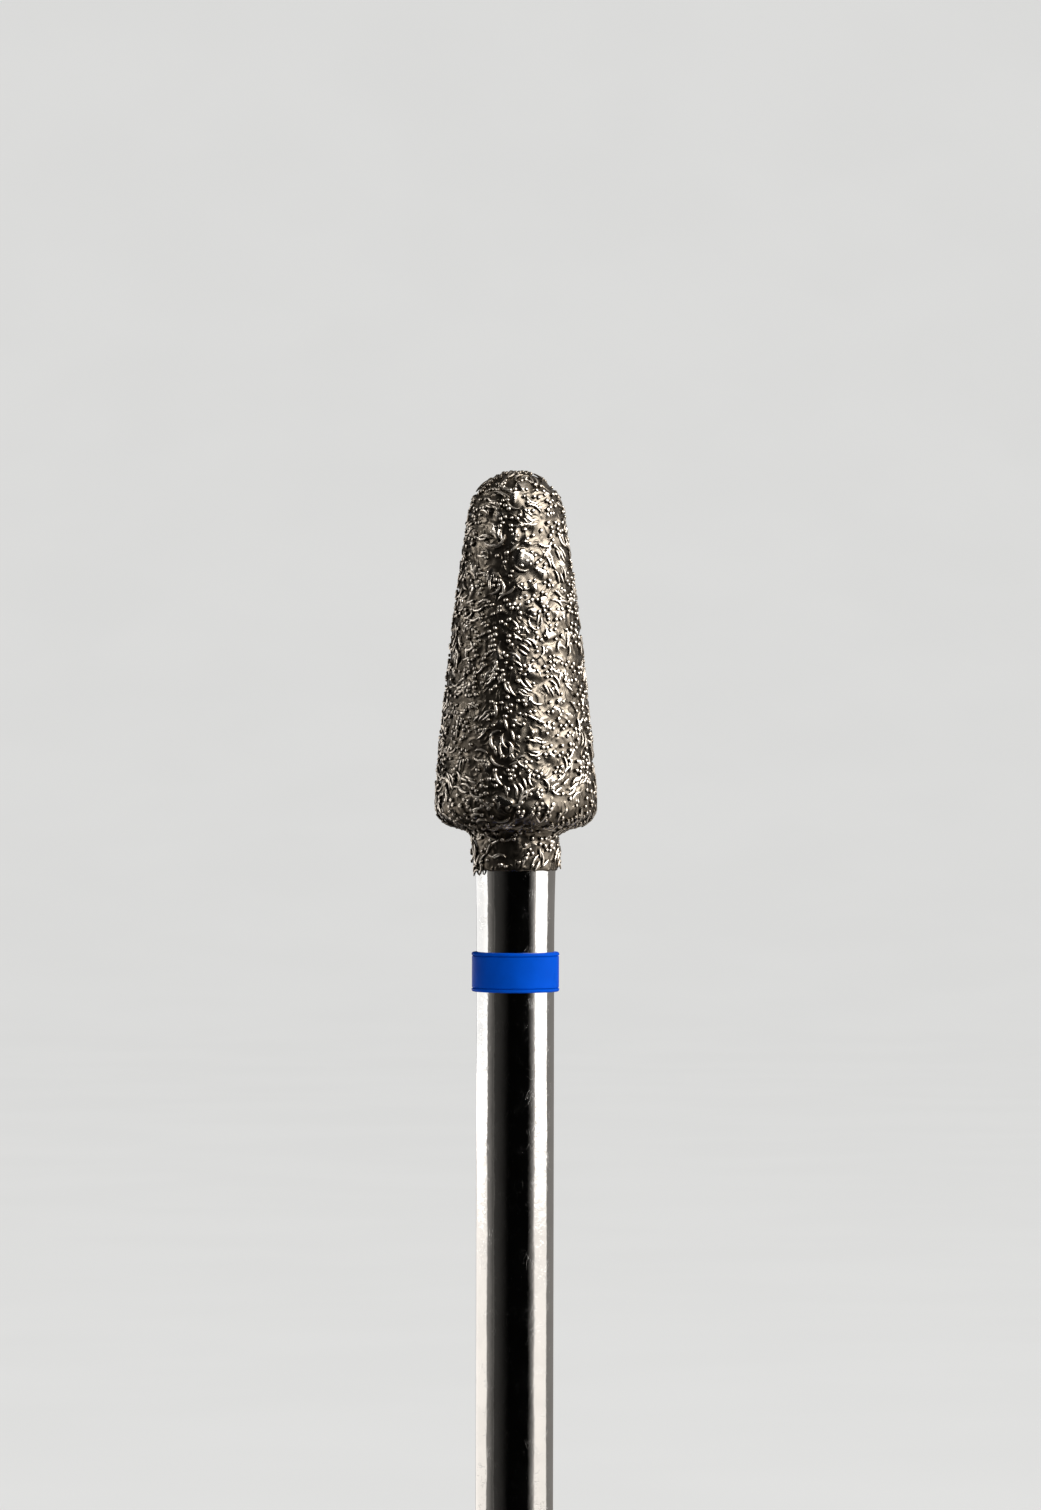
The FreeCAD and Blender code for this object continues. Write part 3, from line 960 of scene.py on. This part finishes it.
class BUR_OT_grade_ring(bpy.types.Operator):
    """Mould the blue grade ring round the shank"""

    bl_idname = "bur.grade_ring"
    bl_label = "Grade ring"

    def execute(self, context):
        size = sizes()
        inner = size.shank_radius - 0.02 * MM
        outer = RING_HIGH.x
        low = RING_LOW.z
        high = RING_HIGH.z
        edge = size.ring_edge
        lip = size.ring_lip
        groove = size.ring_groove
        lip_width = 0.09 * MM
        groove_middle = lip_width * 1.25
        groove_end = lip_width * 1.5
        lower = arc(Vector((outer - edge, low + edge)), edge, -math.pi / 2, 0, 8)
        upper = arc(Vector((outer - edge, high - edge)), edge, 0, math.pi / 2, 8)
        outline = (
            [Vector((inner, low))]
            + lower
            + [
                Vector((outer, low + lip_width)),
                Vector((outer - groove, low + groove_middle)),
                Vector((outer - lip, low + groove_end)),
                Vector((outer - lip, high - groove_end)),
                Vector((outer - groove, high - groove_middle)),
                Vector((outer, high - lip_width)),
            ]
            + upper
            + [Vector((inner, high)), Vector((inner, low))]
        )
        piece = turned("grade_ring_moulded", outline)
        finish_piece(piece, "grade_ring", ring_material(), sharp_angle=40)
        return {"FINISHED"}


# The studio


def seen_directly(nodes):
    """1 for rays from the camera and for reflected or refracted ones, 0 for the light on pieces."""
    path = nodes.add("ShaderNodeLightPath")
    kinds = ("Is Camera Ray", "Is Glossy Ray", "Is Transmission Ray")
    return nodes.math("MINIMUM", nodes.total(*(path.outputs[kind] for kind in kinds)), 1.0)


def paper_material():
    """Pale paper that the camera sees almost evenly lit, with the bur's shadow left on it."""
    nodes = ShadeNodes("studio_paper")
    paper = colours().paper
    fibres = nodes.noise(nodes.where, scale=0.05, detail=2.0)
    base = nodes.mixed(nodes.ramp(fibres, 0.3, 0.7), shade(paper, 0.985), shade(paper, 1.0))
    nodes.link(base, nodes.shader.inputs["Base Color"])
    nodes.shader.inputs["Roughness"].default_value = 0.9
    nodes.shader.inputs["Specular IOR Level"].default_value = 0.1
    evenness = nodes.math("MULTIPLY", seen_directly(nodes), 0.9)
    glow = nodes.add("ShaderNodeEmission", {"Color": base, "Strength": 0.95})
    both = nodes.add(
        "ShaderNodeMixShader",
        {0: evenness, 1: nodes.shader.outputs["BSDF"], 2: glow.outputs["Emission"]},
    )
    nodes.link(both.outputs["Shader"], nodes.output.inputs["Surface"])
    return nodes.material


def tent_material():
    """Dark surroundings that only polished surfaces show, glowing with dim bounced light painted by the
    angle round the bur from the camera's side.
    """
    darkest = 0.001
    material = bpy.data.materials.new("dark_tent")
    material.use_nodes = True
    material.node_tree.nodes.clear()
    nodes = Nodes(material.node_tree)
    place = nodes.add("ShaderNodeTexCoord").outputs["Object"]
    x, y, z = nodes.split(place)
    angle = nodes.math("ARCTAN2", x, nodes.math("MULTIPLY", y, -1.0))
    degrees = nodes.math("MULTIPLY", angle, 180 / math.pi)
    # Painted light: brighter bands beside the softboxes and a faint bright line at -66 degrees, seen
    # only in reflections
    from_bright_line = nodes.math("ABSOLUTE", nodes.math("ADD", degrees, 66.0))
    glow = nodes.total(
        nodes.ramp(degrees, -15.0, -70.0, darkest, 0.045),
        nodes.ramp(degrees, -60.0, -92.0, 0.0, 0.20),
        nodes.ramp(degrees, -95.0, -120.0, 0.0, -0.22),
        nodes.ramp(degrees, 38.0, 60.0, 0.0, 0.27),
        nodes.ramp(degrees, 52.0, 62.0, 0.0, 0.35),
        nodes.ramp(degrees, 105.0, 112.0, 0.0, -0.38),
        nodes.ramp(from_bright_line, 0.0, 3.0, 0.05, 0.0),
    )
    glow = nodes.math("MAXIMUM", glow, darkest)

    # The tent's floor in front of the left and right softboxes glows with a painted reflection of them
    lit = nodes.total(
        nodes.ramp(degrees, -172.0, -164.0),
        nodes.ramp(degrees, -95.0, -88.0, 0.0, -1.0),
        nodes.ramp(degrees, 56.0, 63.0),
        nodes.ramp(degrees, 106.0, 113.0, 0.0, -1.0),
    )
    on_floor = nodes.ramp(z, 0.001, 0.002, 1.2, 0.0)
    far = nodes.add("ShaderNodeVectorMath", {0: place}, operation="LENGTH").outputs["Value"]
    on_floor = nodes.math("MULTIPLY", on_floor, nodes.ramp(far, 0.085, 0.10))
    glow = nodes.math("MAXIMUM", glow, nodes.math("MULTIPLY", lit, on_floor))
    light = nodes.add(
        "ShaderNodeEmission", {"Color": (1.0, 0.95, 0.90, 1), "Strength": glow}
    )
    nodes.add("ShaderNodeOutputMaterial", {"Surface": light.outputs["Emission"]})
    material.cycles.emission_sampling = "NONE"
    return material


def hang_softbox(box):
    """An area lamp that fills the given angles as the bur sees them, aimed at the head."""
    first = math.radians(box.first)
    last = math.radians(box.last)
    middle = (first + last) / 2
    width = 2 * LAMP_DISTANCE * math.tan((last - first) / 2)
    tall = box.high - box.low
    lamp = bpy.data.lights.new(box.name, "AREA")
    lamp.shape = "RECTANGLE"
    lamp.size = width
    lamp.size_y = tall
    lamp.energy = box.radiance * math.pi * width * tall
    holder = bpy.data.objects.new(box.name, lamp)
    bpy.context.scene.collection.objects.link(holder)
    holder.location = (
        math.sin(middle) * LAMP_DISTANCE,
        -math.cos(middle) * LAMP_DISTANCE,
        (box.low + box.high) / 2,
    )
    aim = Vector((0, 0, AIM_HEIGHT)) - holder.location
    holder.rotation_euler = aim.to_track_quat("-Z", "Y").to_euler()
    holder.visible_camera = False


class BUR_OT_studio(bpy.types.Operator):
    """Set up the pale floor and backdrop, the lamps, the dark tent and the camera"""

    bl_idname = "bur.studio"
    bl_label = "Studio"

    def execute(self, context):
        context.scene.view_settings.view_transform = "Standard"
        self.paper()
        for box in SOFTBOXES:
            hang_softbox(box)
        self.air(context.scene)
        self.tent()
        self.camera(context.scene)
        return {"FINISHED"}

    def paper(self):
        """A sheet that is the floor and curves up behind the bur."""
        edge = -1.5
        width = 3.0
        wall = 0.8
        curve = 0.3
        top = 1.5
        path = arc(Vector((wall - curve, curve)), curve, -math.pi / 2, 0, 24)
        path = [Vector((edge, 0))] + path + [Vector((wall, top))]
        paper = traced("studio_paper", [Vector((edge, point.x, point.y)) for point in path])
        bpy.ops.object.mode_set(mode="EDIT")
        bpy.ops.mesh.select_all(action="SELECT")
        bpy.ops.mesh.extrude_region_move(TRANSFORM_OT_translate={"value": (width, 0, 0)})
        bpy.ops.mesh.select_all(action="SELECT")
        bpy.ops.mesh.normals_make_consistent(inside=False)
        bpy.ops.object.mode_set(mode="OBJECT")
        bpy.ops.object.shade_smooth()
        paper.data.materials.append(paper_material())

    def air(self, scene):
        """A pale world that lights the pieces only faintly."""
        world = bpy.data.worlds.new("studio_air")
        world.use_nodes = True
        air = world.node_tree.nodes["Background"]
        air.inputs["Color"].default_value = (1.0, 1.0, 0.985, 1)
        nodes = Nodes(world.node_tree)
        nodes.link(nodes.ramp(seen_directly(nodes), 0.0, 1.0, 0.15, 0.7), air.inputs["Strength"])
        scene.world = world

    def tent(self):
        """A dark tent that only polished surfaces show, with the softboxes inside it."""
        floor = 20 * MICRON
        gap = 30 * MICRON
        outline = [
            Vector((sizes().shank_radius + gap, floor)),
            Vector((TENT_RADIUS, floor)),
            Vector((TENT_RADIUS, TENT_RADIUS)),
            Vector((0.0, TENT_TOP)),
        ]
        tent = turned("dark_tent", outline, steps=96)
        tent.data.materials.append(tent_material())
        tent.visible_camera = False
        tent.visible_diffuse = False
        tent.visible_shadow = False
        tent.visible_transmission = False

    def camera(self, scene):
        """Level with the head and looking along +Y, framed as 1041 by 1510 pixels."""
        pixels_per_mm = 33.0
        frame_width = 1041
        frame_height = 1510
        axis_column = 516.0
        tip_row = 470.0
        distance = 0.2
        rise = math.radians(0.5)
        lean = math.radians(-0.12)
        target = Vector((
            (frame_width / 2 - axis_column) / pixels_per_mm * MM,
            0,
            COATING_HIGH.z - (frame_height / 2 - tip_row) / pixels_per_mm * MM,
        ))
        view_height = frame_height / pixels_per_mm * MM
        data = bpy.data.cameras.new("camera")
        data.sensor_width = 36.0
        data.lens = data.sensor_width * distance / view_height
        data.clip_start = 0.01
        data.clip_end = 10
        camera = bpy.data.objects.new("camera", data)
        scene.collection.objects.link(camera)
        camera.location = target + Vector((0, -math.cos(rise), math.sin(rise))) * distance
        camera.rotation_euler = (math.pi / 2 - rise, lean, 0)
        scene.camera = camera


class BUR_PT_tools(bpy.types.Panel):
    bl_idname = "BUR_PT_tools"
    bl_label = "Dental bur"
    bl_space_type = "VIEW_3D"
    bl_region_type = "UI"
    bl_category = "Bur"

    def draw(self, context):
        for operator in OPERATORS:
            self.layout.operator(operator.bl_idname)
        for group in (context.scene.bur_sizes, context.scene.bur_colours):
            box = self.layout.box()
            for name in group.__annotations__:
                box.prop(group, name)


OPERATORS = (
    BUR_OT_steel_blank,
    BUR_OT_plated_grit,
    BUR_OT_nickel_beads,
    BUR_OT_grade_ring,
    BUR_OT_studio,
)
CLASSES = (BurSizes, BurColours, *OPERATORS, BUR_PT_tools)


def register():
    for item in CLASSES:
        bpy.utils.register_class(item)
    bpy.types.Scene.bur_sizes = bpy.props.PointerProperty(type=BurSizes)
    bpy.types.Scene.bur_colours = bpy.props.PointerProperty(type=BurColours)


def unregister():
    del bpy.types.Scene.bur_colours
    del bpy.types.Scene.bur_sizes
    for item in reversed(CLASSES):
        bpy.utils.unregister_class(item)


def main():
    register()
    bpy.ops.bur.steel_blank()
    bpy.ops.bur.plated_grit()
    bpy.ops.bur.nickel_beads()
    bpy.ops.bur.grade_ring()
    bpy.ops.bur.studio()


if __name__ == "__main__":
    main()
